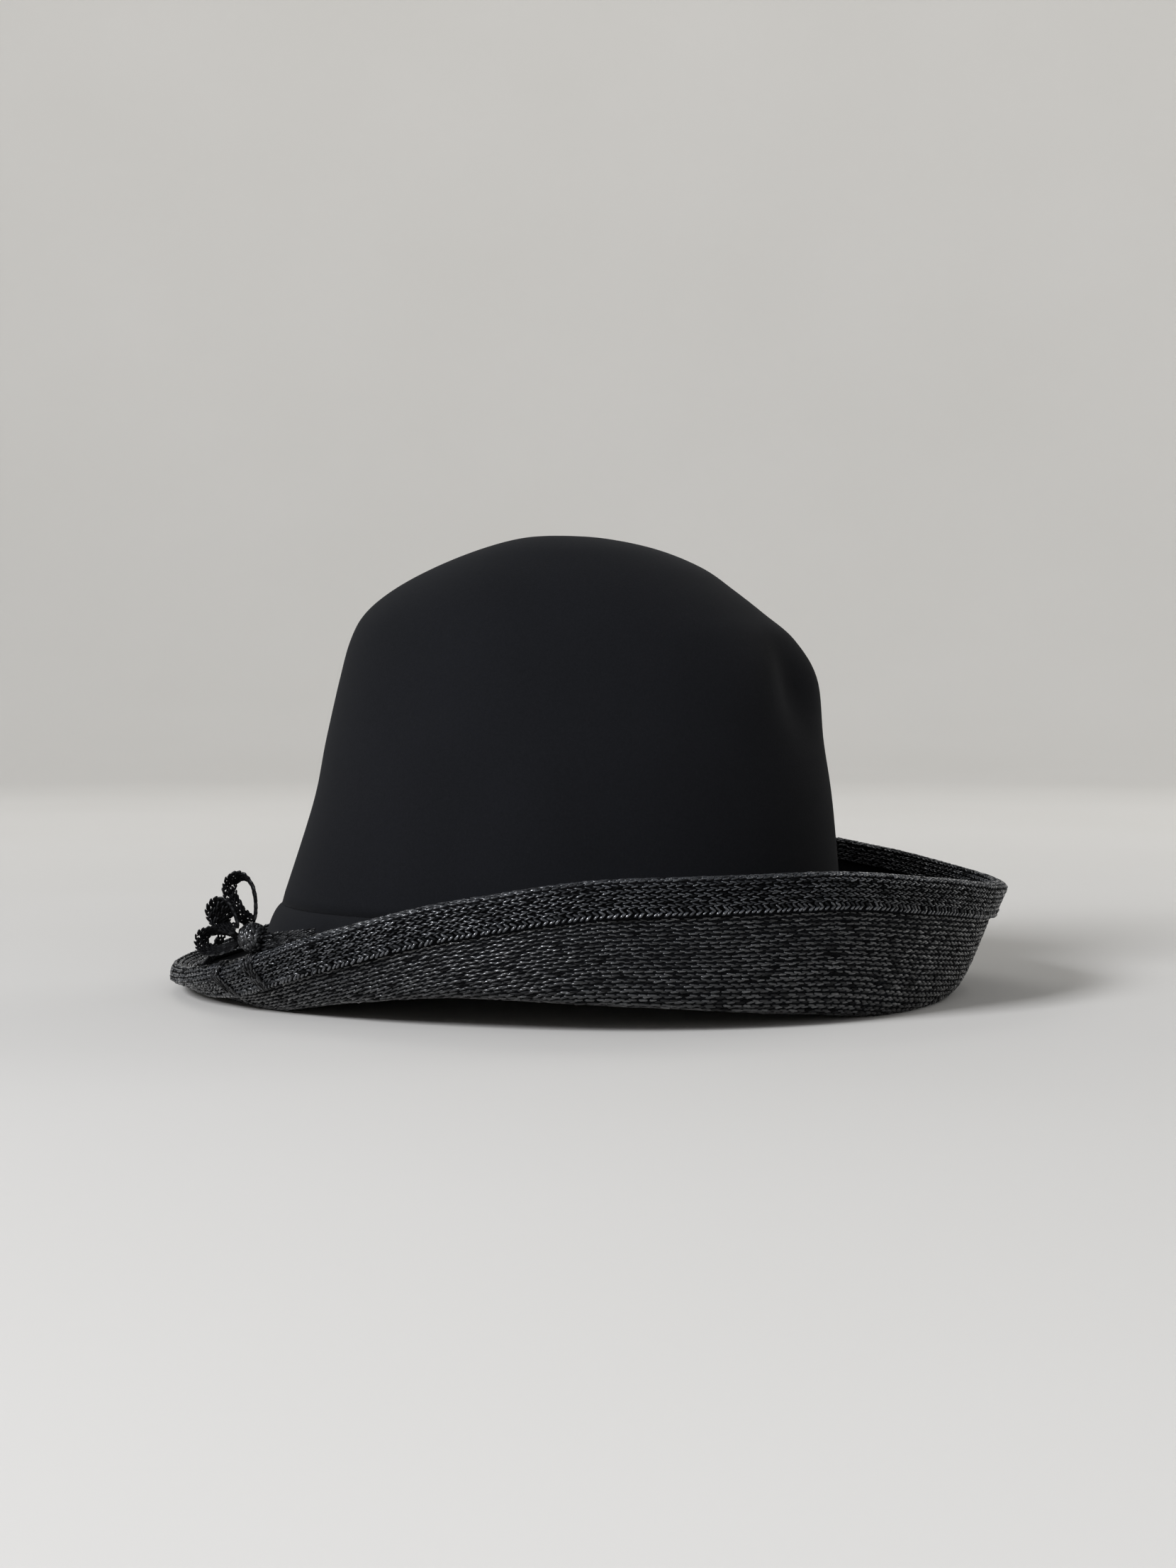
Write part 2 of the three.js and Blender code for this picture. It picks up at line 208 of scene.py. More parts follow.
@dataclass(frozen=True)
class PlaitedStraw:
    """Plait of dyed and lacquered straw: glossy black, each straw catching the light a little differently."""

    name: str
    dark: str
    light: str
    smooth: float = 0.15
    rough: float = 0.6
    dull: float = 0.05
    shine: float = 0.9
    ior: float = 1.5
    lacquer: float = 1.0
    lacquer_from: float = 0.2
    lacquer_roughness: float = 0.12
    fibre_mm: float = 0.35
    fibre_depth_mm: float = 0.05
    fibre_strength: float = 0.5

    def material(self) -> bpy.types.Material:
        """Builds the straw, with tone and gloss that change from cell to cell, and painted shade that darkens
        and dulls the lower sides of each cell.

        Returns:
            The material.
        """
        material, tree, shader = start_material(self.name)
        # The tone attribute holds each cell's random tone times its painted shade
        tone = add_node(tree, "ShaderNodeAttribute", {"attribute_name": "tone"}).outputs["Fac"]
        colour = add_node(tree, "ShaderNodeValToRGB", inputs={"Fac": tone})
        colour.color_ramp.elements[0].color = linear(self.dark)
        colour.color_ramp.elements[1].color = linear(self.light)
        gloss = add_node(tree, "ShaderNodeMapRange", inputs={
            "Value": tone, "To Min": self.rough, "To Max": self.smooth})
        # Fibres of the split straw, drawn wider than life so that they show
        place = add_node(tree, "ShaderNodeTexCoord").outputs["Object"]
        fibre = add_node(tree, "ShaderNodeTexNoise", inputs={
            "Vector": place, "Scale": 1 / (self.fibre_mm * MM), "Detail": 2.0})
        bump = add_node(tree, "ShaderNodeBump", inputs={
            "Height": fibre.outputs["Fac"], "Distance": self.fibre_depth_mm * MM,
            "Strength": self.fibre_strength})
        # Low tone, on duller cells and on the painted shade of each cell's sides, gives a weaker reflection
        # and less lacquer
        shine = add_node(tree, "ShaderNodeMapRange", inputs={
            "Value": tone, "To Min": self.dull, "To Max": self.shine})
        lacquer = add_node(tree, "ShaderNodeMapRange", inputs={
            "Value": tone, "From Min": self.lacquer_from, "To Min": 0.0, "To Max": self.lacquer})
        fill_inputs(tree, shader, {
            "Base Color": colour.outputs["Color"], "Roughness": gloss.outputs["Result"],
            "Specular IOR Level": shine.outputs["Result"], "IOR": self.ior,
            "Coat Weight": lacquer.outputs["Result"], "Coat Roughness": self.lacquer_roughness,
            "Normal": bump.outputs["Normal"]})
        return material


@dataclass(frozen=True)
class CottonTape:
    """Black cotton tape that carries the straw of the binding: dull, and darker than anything sewn to it."""

    name: str = "black_cotton_tape"
    colour: str = "#060607"
    roughness: float = 0.95
    specular: float = 0.05

    def material(self) -> bpy.types.Material:
        """Builds the tape.

        Returns:
            The material.
        """
        material, tree, shader = start_material(self.name)
        fill_inputs(tree, shader, {
            "Base Color": linear(self.colour), "Roughness": self.roughness,
            "Specular IOR Level": self.specular})
        return material


@dataclass(frozen=True)
class PaintedFloor:
    """Matt pale paint on a smooth floor: even, with the faintest cloudiness."""

    name: str = "matt_paint_pale"
    colour: str = "#c9c7c3"
    shade: str = "#c4c2bd"
    cloud_mm: float = 300.0
    roughness: float = 0.9
    specular: float = 0.1

    def material(self) -> bpy.types.Material:
        """Builds the paint.

        Returns:
            The material.
        """
        material, tree, shader = start_material(self.name)
        place = add_node(tree, "ShaderNodeTexCoord").outputs["Object"]
        cloud = add_node(tree, "ShaderNodeTexNoise", inputs={
            "Vector": place, "Scale": 1 / (self.cloud_mm * MM)})
        colour = add_node(tree, "ShaderNodeValToRGB", inputs={"Fac": cloud.outputs["Fac"]})
        colour.color_ramp.elements[0].color = linear(self.shade)
        colour.color_ramp.elements[1].color = linear(self.colour)
        fill_inputs(tree, shader, {
            "Base Color": colour.outputs["Color"], "Roughness": self.roughness,
            "Specular IOR Level": self.specular})
        return material


@dataclass(frozen=True)
class CrownRow:
    """Height of one section of the crown, and its reach to the front, back and sides, in mm."""

    height: float
    front: float
    back: float
    side: float


@dataclass(frozen=True)
class BrimRow:
    """Section of the brim at one angle from the front: its fold, its edge, and the edge's slope."""

    angle: float
    fold_reach: float
    fold_height: float
    edge_reach: float
    edge_height: float
    edge_slope: float


CROWN_ROWS = (
    CrownRow(30.5, 96, 96, 84),
    CrownRow(64, 93, 85.2, 78),
    CrownRow(85, 90, 80.8, 74.5),
    CrownRow(106, 88, 75.9, 69.3),
    CrownRow(119.5, 80.2, 72, 64.3),
    CrownRow(128.5, 69.8, 66.8, 59.2),
    CrownRow(136.5, 59.8, 57, 52.3),
    CrownRow(144, 49.3, 43, 43),
    CrownRow(150.3, 34.2, 27, 32.2),
    CrownRow(154.1, 16.5, 12.6, 17.9),
    CrownRow(155, 0, 0, 0),
)
BRIM_ROWS = (
    BrimRow(0, 127, 0, 151, 35.5, 64),
    BrimRow(14, 126, 0, 148, 37, 69),
    BrimRow(30, 124, 0, 141, 41.5, 78),
    BrimRow(54, 119, 4, 133.5, 46.5, 88),
    BrimRow(80, 115, 8.5, 127.5, 46, 91),
    BrimRow(104, 112, 10.5, 125.5, 39, 84),
    BrimRow(125, 109, 6.5, 126.5, 27, 65),
    BrimRow(150, 107, 0, 129.5, 11.5, 36),
    BrimRow(165, 108, 0, 131.5, 7, 22),
    BrimRow(180, 109, 0, 133, 5.5, 13),
)


@dataclass(frozen=True)
class HatForm:
    """The hat's main curves, in mm, about an upright axis through the middle of the head line."""

    head_half_length: float = 96.0
    head_half_width: float = 84.0
    head_line_height: float = 28.0
    crown_wall: float = 2.0
    crown_top_shift: float = 2.0
    pinch_depth: float = 6.0
    pinch_angle: float = 24.0
    pinch_spread: float = 11.0
    pinch_height: float = 104.0
    pinch_tall: float = 15.0
    brim_wall: float = 2.2
    fold_flat: float = 3.0
    level_share: float = 0.45
    flatten_share: float = 0.3
    roll_share: float = 0.2
    flare_share: float = 0.55
    turns: int = 720
    wall_samples: int = 120
    under_samples: int = 80
    inset_step: float = 0.25
    inset_limit: float = 120.0
    table: dict[str, Array] = field(default_factory=dict)

    def around(self, turn: Array, reach: Array, height: Array) -> Array:
        """Places points by their angle from the front, reach and height.

        Args:
            turn: Angles from the front towards the wearer's right.
            reach: Distances from the axis.
            height: Heights above the floor.

        Returns:
            The points, as (points, 3).
        """
        return np.stack([-np.sin(turn) * reach, -np.cos(turn) * reach, height + 0 * turn], axis=-1)

    def at_angle(self, column: str, turn: Array) -> Array:
        """Reads a column of the brim's table on a smooth curve that never overshoots its rows.

        Args:
            column: Field of the table's rows.
            turn: Angles from the front.

        Returns:
            The values.
        """
        x = degrees_from_front(turn)
        angle = np.array([row.angle for row in BRIM_ROWS], float)
        value = np.array([getattr(row, column) for row in BRIM_ROWS], float)
        rise = np.diff(value) / np.diff(angle)
        same = rise[:-1] * rise[1:] > 0
        slope = np.zeros(len(value))
        slope[1:-1][same] = 2 / (1 / rise[:-1][same] + 1 / rise[1:][same])
        i = np.clip(np.searchsorted(angle, x, side="right") - 1, 0, len(angle) - 2)
        span = angle[i + 1] - angle[i]
        u = (x - angle[i]) / span
        leave = slope[i] * span * u * (1 - u) ** 2
        arrive = slope[i + 1] * span * u ** 2 * (1 - u)
        return value[i] + u * u * (3 - 2 * u) * (value[i + 1] - value[i]) + leave - arrive

    def head_reach(self, turn: Array) -> Array:
        """Gives the reach of the oval head line."""
        return 1 / np.hypot(np.sin(turn) / self.head_half_width, np.cos(turn) / self.head_half_length)

    def outer_path(self, turn: Array, wall_steps: int, under_steps: int) -> Array:
        """Follows the outer and under face of the brim from its edge round the fold to the head line.

        Args:
            turn: Angles from the front.
            wall_steps: Steps from the edge to the fold.
            under_steps: Steps from the fold to the head line.

        Returns:
            Reach and height of the points, as (angles, points, 2).
        """
        head = np.stack([self.head_reach(turn) - self.crown_wall, self.head_line_height + 0 * turn], -1)
        fold = np.stack([self.at_angle("fold_reach", turn), self.at_angle("fold_height", turn)], -1)
        edge = np.stack([self.at_angle("edge_reach", turn), self.at_angle("edge_height", turn)], -1)
        flat = np.array([self.fold_flat, 0.0])
        start, end = fold - flat, fold + flat
        across = np.stack([start[:, 0] - head[:, 0], 0 * turn], -1)
        under = np.stack([
            start, start - across * self.flatten_share, head + across * self.level_share, head], 1)
        chord = np.linalg.norm(edge - end, axis=1)
        slope = np.radians(self.at_angle("edge_slope", turn))
        flare = np.stack([np.cos(slope), np.sin(slope)], -1) * (chord * self.flare_share)[:, None]
        roll = np.stack([chord * self.roll_share, 0 * turn], -1)
        wall = np.stack([edge, edge - flare, end + roll, end], 1)
        return np.concatenate([
            bezier(wall, np.linspace(0, 1, wall_steps + 1)),
            bezier(under, np.linspace(0, 1, under_steps + 1))], axis=1)

    def measure(self) -> None:
        """Lays the outer face out by distance from the edge, for rows that run along it."""
        turn = np.arange(self.turns) * (FULL_TURN / self.turns)
        path = self.outer_path(turn, self.wall_samples, self.under_samples)
        steps = np.linalg.norm(np.diff(path, axis=1), axis=2)
        length = np.concatenate([np.zeros((self.turns, 1)), np.cumsum(steps, axis=1)], axis=1)
        inset = np.arange(0, self.inset_limit, self.inset_step)
        laid = np.stack([
            np.stack([np.interp(inset, length[i], path[i, :, k]) for k in (0, 1)], -1)
            for i in range(self.turns)])
        self.table["turn"] = turn
        self.table["laid"] = laid
        self.table["wall_length"] = length[:, self.wall_samples]

    def beside_edge(self, inset: Array, offset: Array) -> tuple[Array, Array]:
        """Places a ring of points beside the brim's outer face, one at each measured angle.

        Args:
            inset: Distances in from the edge along the outer face; past the edge where negative.
            offset: Distances out from the face.

        Returns:
            Reach and height of the points, and the outward directions in the section.
        """
        laid = self.table["laid"]
        rows = np.arange(self.turns)
        inset = np.broadcast_to(np.asarray(inset, float), (self.turns,))
        step = np.clip(inset / self.inset_step, 0, laid.shape[1] - 3)
        low = np.floor(step).astype(int)
        share = (step - low)[:, None]
        point = laid[rows, low] * (1 - share) + laid[rows, low + 1] * share
        along = unit(laid[rows, low + 2] - laid[rows, np.maximum(low - 1, 0)])
        out = np.stack([-along[:, 1], along[:, 0]], -1)
        past = np.minimum(inset, 0)[:, None]
        return point + along * past + out * np.asarray(offset, float).reshape(-1, 1), out

    def crown_reaches(self, rise: Array) -> dict[str, Array]:
        """Reads the crown's table on a smooth curve through its rows.

        Args:
            rise: Places from the rim, 0, to the top, 1.

        Returns:
            Each column of the table at those places.
        """
        last = len(CROWN_ROWS) - 1
        place = np.clip(rise, 0, 1) * last
        i = np.minimum(np.floor(place).astype(int), last - 1)
        u = place - i
        found = {}
        for column in ("height", "front", "back", "side"):
            value = np.array([getattr(row, column) for row in CROWN_ROWS], float)
            p0, p1 = value[np.maximum(i - 1, 0)], value[i]
            p2, p3 = value[i + 1], value[np.minimum(i + 2, last)]
            v0, v1 = (p2 - p0) / 2, (p3 - p1) / 2
            found[column] = ((2 * p1 - 2 * p2 + v0 + v1) * u ** 3
                             + (3 * p2 - 3 * p1 - 2 * v0 - v1) * u ** 2 + v0 * u + p1)
        return found

    def crown_points(self, turn: Array, rise: Array) -> Array:
        """Places points on the outside of the crown.

        Args:
            turn: Angles from the front.
            rise: Places from the rim, 0, to the top, 1.

        Returns:
            The points, as (points, 3).
        """
        reach = self.crown_reaches(rise)
        aside = (degrees_from_front(turn) - self.pinch_angle) / self.pinch_spread
        above = (reach["height"] - self.pinch_height) / self.pinch_tall
        dent = self.pinch_depth * np.exp(-aside ** 2 - above ** 2)
        length = np.where(np.cos(turn) >= 0, reach["front"], reach["back"])
        x = -np.sin(turn) * np.maximum(reach["side"] - dent, 0)
        y = -np.cos(turn) * np.maximum(length - dent, 0) + self.crown_top_shift * rise ** 2
        return np.stack([x, y, reach["height"]], -1)


def turned_surface(steps: int, turns: int, closed: bool) -> tuple[bmesh.types.BMesh, Array, Array]:
    """Turns a chain of points once round the upright axis, as a sheet to be moved to its own shape.

    Args:
        steps: Steps of the chain.
        turns: Steps of the turn.
        closed: Whether the chain is a closed outline.

    Returns:
        The mesh, and each vertex's angle from the front and step on the chain.
    """
    mesh = bmesh.new()
    layer = mesh.verts.layers.float.new("step")
    chain = []
    for k in range(steps if closed else steps + 1):
        angle = FULL_TURN * k / steps
        # A small ring beside the axis, or a straight line up
        place = (-1.0 - math.sin(angle) / 2, math.cos(angle) / 2) if closed else (-1.0, float(k))
        vert = mesh.verts.new((0.0, *place))
        vert[layer] = k
        chain.append(vert)
    ends = chain[1:] + chain[:1] if closed else chain[1:]
    edges = [mesh.edges.new(pair) for pair in zip(chain, ends)]
    bmesh.ops.spin(mesh, geom=chain + edges, cent=(0, 0, 0), axis=(0, 0, 1), dvec=(0, 0, 0),
                   angle=FULL_TURN, steps=turns, use_merge=True, use_duplicate=False)
    mesh.verts.ensure_lookup_table()
    turn = np.array([math.atan2(-v.co.x, -v.co.y) for v in mesh.verts])
    step = np.array([round(v[layer]) for v in mesh.verts])
    return mesh, turn, step


def move_to(mesh: bmesh.types.BMesh, places: Array, reverse: bool) -> None:
    """Moves the vertices of a turned sheet to their own places, and turns its faces outwards.

    Args:
        mesh: Turned sheet.
        places: A place for each vertex.
        reverse: Whether the faces point inwards as they were turned.
    """
    for vert, place in zip(mesh.verts, places):
        vert.co = place
    if reverse:
        bmesh.ops.reverse_faces(mesh, faces=mesh.faces[:])
    bmesh.ops.remove_doubles(mesh, verts=mesh.verts[:], dist=MERGE_MM)


def thicken(piece: bpy.types.Object, wall: float) -> None:
    """Gives a sheet of felt its thickness, inwards from its face.

    Args:
        piece: The sheet.
        wall: Its thickness, in mm.
    """
    modifier = piece.modifiers.new("felt_thickness", "SOLIDIFY")
    modifier.thickness = wall * MM
    modifier.offset = -1.0


class Placing:
    """Where the hat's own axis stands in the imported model's frame."""

    def __init__(self) -> None:
        """Reads the place of the axis from the crown, which is even to both sides of it."""
        low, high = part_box("crown")
        self.origin = np.array([0.0, (low.y + high.y) / 2, 0.0])

    def moved(self, source: bmesh.types.BMesh) -> bpy.types.Mesh:
        """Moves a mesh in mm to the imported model's frame.

        Args:
            source: Mesh about the hat's own axis, which is used up.

        Returns:
            The mesh, in metres.
        """
        mesh = bpy.data.meshes.new("piece")
        source.to_mesh(mesh)
        source.free()
        co = np.empty(len(mesh.vertices) * 3)
        mesh.vertices.foreach_get("co", co)
        mesh.vertices.foreach_set("co", (co.reshape(-1, 3) * MM + self.origin).ravel())
        return mesh

    def joined(self, cells: "Plait") -> bpy.types.Mesh:
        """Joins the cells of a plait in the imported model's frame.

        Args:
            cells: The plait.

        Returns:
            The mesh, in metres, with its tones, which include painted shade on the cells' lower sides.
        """
        points, faces, tones = cells.mesh_data()
        mesh = bpy.data.meshes.new("piece")
        mesh.from_pydata(points * MM + self.origin, [], faces)
        tone = mesh.attributes.new("tone", "FLOAT", "POINT")
        tone.data.foreach_set("value", tones)
        return mesh


def enter(
    mesh: bpy.types.Mesh, name: str, finish: bpy.types.Material, stands_for: Sequence[str] = (),
) -> bpy.types.Object:
    """Puts a mesh into the scene as a piece of the hat.

    Args:
        mesh: Mesh in metres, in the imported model's frame.
        name: Name of the piece.
        finish: Its material.
        stands_for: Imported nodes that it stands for.

    Returns:
        The piece.
    """
    mesh.name = name
    mesh.validate()
    mesh.shade_smooth()
    mesh.materials.append(finish)
    piece = bpy.data.objects.new(name, mesh)
    bpy.context.scene.collection.objects.link(piece)
    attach(piece, BODY)
    if stands_for:
        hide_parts(*stands_for)
    log.info("%s: %d faces", name, len(mesh.polygons))
    return piece


class Lay(Enum):
    """How the cells of a plait lie along its row."""

    PLAIT = 0.5  # cells to either side by turns
    CHEVRON = 0.0  # cells meet in pairs


@dataclass(frozen=True)
class Cell:
    """One crossing of a plait's straw, as it shows on the face of a row, in mm and degrees."""

    length: float = 3.5
    width: float = 0.8
    height: float = 1.0
    lean: float = 6.0  # away from the run of the row, along the face
    aside: float = 0.18  # from the middle of the row
    pitch: float = 3.2
    lift: float = 0.15  # of its middle above the face
    dip: float = 3.0  # of its tail into the row
    tilt: float = 0.0  # about its own length
    loose: float = 1.0  # how freely it strays
    shade: float = 1.0  # painted shade: share of the tone that the cells on one side keep, as if only the other leg caught the light
    lay: Lay = Lay.PLAIT


@dataclass(frozen=True)
class Stray:
    """How far the cells of a plait stray from an even lay, as the spread of each measure."""

    place: float = 0.08  # share of the pitch
    lean: float = 3.0  # degrees
    dip: float = 2.5  # degrees
    tilt: float = 9.0  # degrees
    lift: float = 0.03  # mm
    size: float = 0.09  # share of the size
    tone: float = 0.24


STRAY = Stray()


class Plait:
    """Cells of braid that are gathered row by row and joined into one mesh.

    Each point carries a tone: the cell's own random tone times a painted shade, full at the top of a cell and
    falling to nothing on its lower sides, as if shade lay between the cells.
    """

    fullness = 1.35  # how much fuller than an oval a cell is towards its ends
    painted_shade_middle = 0.45  # painted shade: share of a cell's tone kept at half its height
    painted_shade_gain = 0.65  # painted shade: share added from there to the top of the cell
    sight = 0.4  # share of the pitch to either side over which a cell's direction is taken

    def __init__(self, seed: int) -> None:
        """Starts an empty plait.

        Args:
            seed: Seed of its small irregularities.
        """
        self.random = np.random.default_rng(seed)
        self.points: list[Array] = []
        self.tones: list[Array] = []
        leaf = bmesh.new()
        bmesh.ops.create_icosphere(leaf, subdivisions=1, radius=1.0)
        bmesh.ops.rotate(leaf, verts=leaf.verts[:], cent=(0, 0, 0),
                         matrix=Matrix.Rotation(math.pi / 2, 3, "Y"))
        leaf.verts.ensure_lookup_table()
        self.leaf = np.array([v.co for v in leaf.verts])
        self.leaf[:, 0] *= self.fullness - (self.fullness - 1) * self.leaf[:, 0] ** 2
        # Painted shade: a cell is darker and duller towards its lower sides, where shade would fall between
        # the cells
        self.painted_shade = np.clip(self.painted_shade_middle + self.painted_shade_gain * self.leaf[:, 2], 0, 1)
        self.faces = np.array([[v.index for v in f.verts] for f in leaf.faces])
        leaf.free()

    def add_row(
        self, points: Array, normals: Array, cell: Cell, closed: bool,
        wide: Array | float = 1.0, shown: Array | None = None, phase: float = 0.0, tone: float = 0.5,
    ) -> None:
        """Adds the cells of one row.

        Args:
            points: Points along the row, in mm.
            normals: Directions out of the surface that it lies on.
            cell: Size and lay of its cells.
            closed: Whether the row runs round and meets itself.
            wide: Width of the row at the points, as a share of the cell's own.
            shown: Whether the row shows at the points.
            phase: Share of the pitch by which the row starts later.
            tone: How light and smooth the straw is, from 0 to 1.
        """
        wide = np.broadcast_to(np.asarray(wide, float), len(points))
        shown = np.ones(len(points), bool) if shown is None else shown
        if closed:
            points, normals = (np.concatenate([v, v[:1]]) for v in (points, normals))
            wide, shown = (np.concatenate([v, v[:1]]) for v in (wide, shown))
        length = distances(points)
        count = max(round(length[-1] / cell.pitch), 1)
        pitch = length[-1] / count
        inside = 0.0 if closed else 0.5 - cell.lay.value / 2
        for side in (-1, 1):
            start = phase + (cell.lay.value if side > 0 else 0.0)
            jitter = self.random.normal(0, STRAY.place * cell.loose, count)
            along = (np.arange(count) + start + jitter + inside) * pitch
            along = along % length[-1] if closed else np.clip(along, 0, length[-1])

            def at(values: Array, where: Array = along) -> Array:
                """Reads values along the row."""
                if values.ndim == 1:
                    return np.interp(where, length, values)
                return np.stack([np.interp(where, length, values[:, k]) for k in range(3)], -1)

            ahead, behind = along + self.sight * pitch, along - self.sight * pitch
            if closed:
                ahead, behind = ahead % length[-1], behind % length[-1]
            keep = at(shown.astype(float)) > 0.5
            tangent = unit(at(points, ahead) - at(points, behind) + 1e-9)
            normal = at(normals)
            normal = unit(normal - tangent * np.sum(normal * tangent, axis=1, keepdims=True))
            across = np.cross(normal, tangent)
            scale = at(wide)[:, None]
            lean = cell.lean + self.random.normal(0, STRAY.lean * cell.loose, count)
            dip = cell.dip + self.random.normal(0, STRAY.dip, count)
            tilt = cell.tilt + self.random.normal(0, STRAY.tilt * cell.loose, count)
            lean, dip, tilt = (np.radians(angle)[:, None] for angle in (lean, dip, tilt))
            lean = lean * side
            run = np.cos(lean) * tangent + np.sin(lean) * across
            beside = np.cross(normal, run)
            run, up = np.cos(dip) * run + np.sin(dip) * normal, np.cos(dip) * normal - np.sin(dip) * run
            beside, up = np.cos(tilt) * beside + np.sin(tilt) * up, np.cos(tilt) * up - np.sin(tilt) * beside
            lift = cell.lift + self.random.normal(0, STRAY.lift, count)[:, None]
            middle = at(points) + across * (side * cell.aside * scale) + normal * lift
            grow = 1 + self.random.normal(0, STRAY.size, (count, 1, 1))
            size = grow * np.concatenate([
                0 * scale + cell.length / 2, scale * cell.width / 2, 0 * scale + cell.height / 2], 1)[:, None]
            local = self.leaf[None] * size
            places = (middle[:, None] + local[..., :1] * run[:, None]
                      + local[..., 1:2] * beside[:, None] + local[..., 2:] * up[:, None])
            # Painted shade: the cells on one side keep only part of their tone, so that one leg of each pair
            # looks lit and the other shaded
            painted_leg_tone = tone * (cell.shade if side < 0 else 1.0)
            tones = np.clip(self.random.normal(painted_leg_tone, STRAY.tone, count), 0, 1)
            self.points.append(places[keep].reshape(-1, 3))
            # The painted shade on each cell's lower sides multiplies its tone
            self.tones.append((tones[keep][:, None] * self.painted_shade).ravel())

    def mesh_data(self) -> tuple[Array, Array, Array]:
        """Joins the cells.

        Returns:
            Points, faces and the tone of each point.
        """
        points = np.concatenate(self.points)
        points[:, 2] = np.maximum(points[:, 2], 0)
        cells = len(points) // len(self.leaf)
        faces = self.faces[None] + np.arange(cells)[:, None, None] * len(self.leaf)
        return points, faces.reshape(-1, 3), np.concatenate(self.tones)


@dataclass
class Crown:
    """Tall felt dome, pinched on each side of its front."""

    form: HatForm
    placing: Placing
    steps: int = 72
    turns: int = 192
    pressed: float = 0.6  # how far the rim is pressed into the brim

    def build(self, felt: bpy.types.Material) -> None:
        """Turns the dome, moves it to its shape and gives it the felt's thickness.

        Args:
            felt: Finish of the crown.
        """
        mesh, turn, step = turned_surface(self.steps, self.turns, closed=False)
        places = self.form.crown_points(turn, step / self.steps)
        places[step == 0, 2] -= self.pressed
        move_to(mesh, places, reverse=True)
        piece = enter(self.placing.moved(mesh), "felt_crown", felt, ["crown"])
        thicken(piece, self.form.crown_wall)


@dataclass
class Brim:
    """Felt brim, turned up at the front and sides, with rows of braid sewn to its outer face."""

    form: HatForm
    placing: Placing
    wall_steps: int = 36
    under_steps: int = 28
    turns: int = 256
    groove: float = 11.25  # from the edge to the first row, past the binding
    fine_rows: int = 9
    fine_spacing: float = 1.5
    coarse_spacing: float = 2.3
    coarse_row: int = 20  # from this row on the rows lie widest
    row_gap: float = 0.45
    past_fold: float = 2.0
    rows_apiece: int = 13  # rows in each of the two pieces
    stretch_angles: tuple[float, ...] = (0, 30, 90, 125, 180)
    stretch_shares: tuple[float, ...] = (1.12, 1.08, 0.88, 0.95, 1.0)
    phase_step: float = 0.13  # share of the pitch by which a row starts later than the last
    phase_spread: float = 0.15
    seed: int = 11
    cell: Cell = Cell()

    def build(self, felt: bpy.types.Material) -> None:
        """Turns the felt sheet, moves it to its shape and gives it its thickness.

        Args:
            felt: Finish of the brim's felt.
        """
        steps = self.wall_steps + self.under_steps + 1
        mesh, turn, step = turned_surface(steps, self.turns, closed=False)
        path = self.form.outer_path(turn, self.wall_steps, self.under_steps)
        spot = path[np.arange(len(turn)), step]
        move_to(mesh, self.form.around(turn, spot[:, 0], spot[:, 1]), reverse=False)
        piece = enter(self.placing.moved(mesh), "felt_brim", felt, ["brim"])
        thicken(piece, self.form.brim_wall)

    def spacing(self, row: int) -> float:
        """Gives the distance from one row to the next, which grows towards the fold."""
        share = np.clip((row - self.fine_rows) / (self.coarse_row - self.fine_rows), 0, 1)
        return self.fine_spacing + float(share) * (self.coarse_spacing - self.fine_spacing)

    def stretch(self, turn: Array) -> Array:
        """Gives how much wider the rows lie at each angle than along the hat as a whole."""
        return np.interp(degrees_from_front(turn), self.stretch_angles, self.stretch_shares)

    def dress(self, braid: bpy.types.Material) -> None:
        """Sews the rows of braid to the outer face, from the binding to just past the fold.

        Args:
            braid: Finish of the braid.
        """
        turn = self.form.table["turn"]
        stretch = self.stretch(turn)
        limit = self.form.table["wall_length"] + 2 * self.form.fold_flat + self.past_fold
        reach = 0.0
        phase = 0.0
        for number, name in enumerate(("brim_braid_upper", "brim_braid_lower")):
            plait = Plait(self.seed + number)
            for row in range(number * self.rows_apiece, (number + 1) * self.rows_apiece):
                inset = self.groove + reach * stretch
                spot, out = self.form.beside_edge(inset, 0.0)
                points = self.form.around(turn, spot[:, 0], spot[:, 1])
                normals = self.form.around(turn, out[:, 0], out[:, 1])
                wide = (self.spacing(row) * stretch - self.row_gap) / (self.fine_spacing - self.row_gap)
                plait.add_row(points, normals, self.cell, True, wide, inset < limit, phase)
                phase += plait.random.normal(self.phase_step, self.phase_spread)
                reach += self.spacing(row)
            enter(self.placing.joined(plait), name, braid)


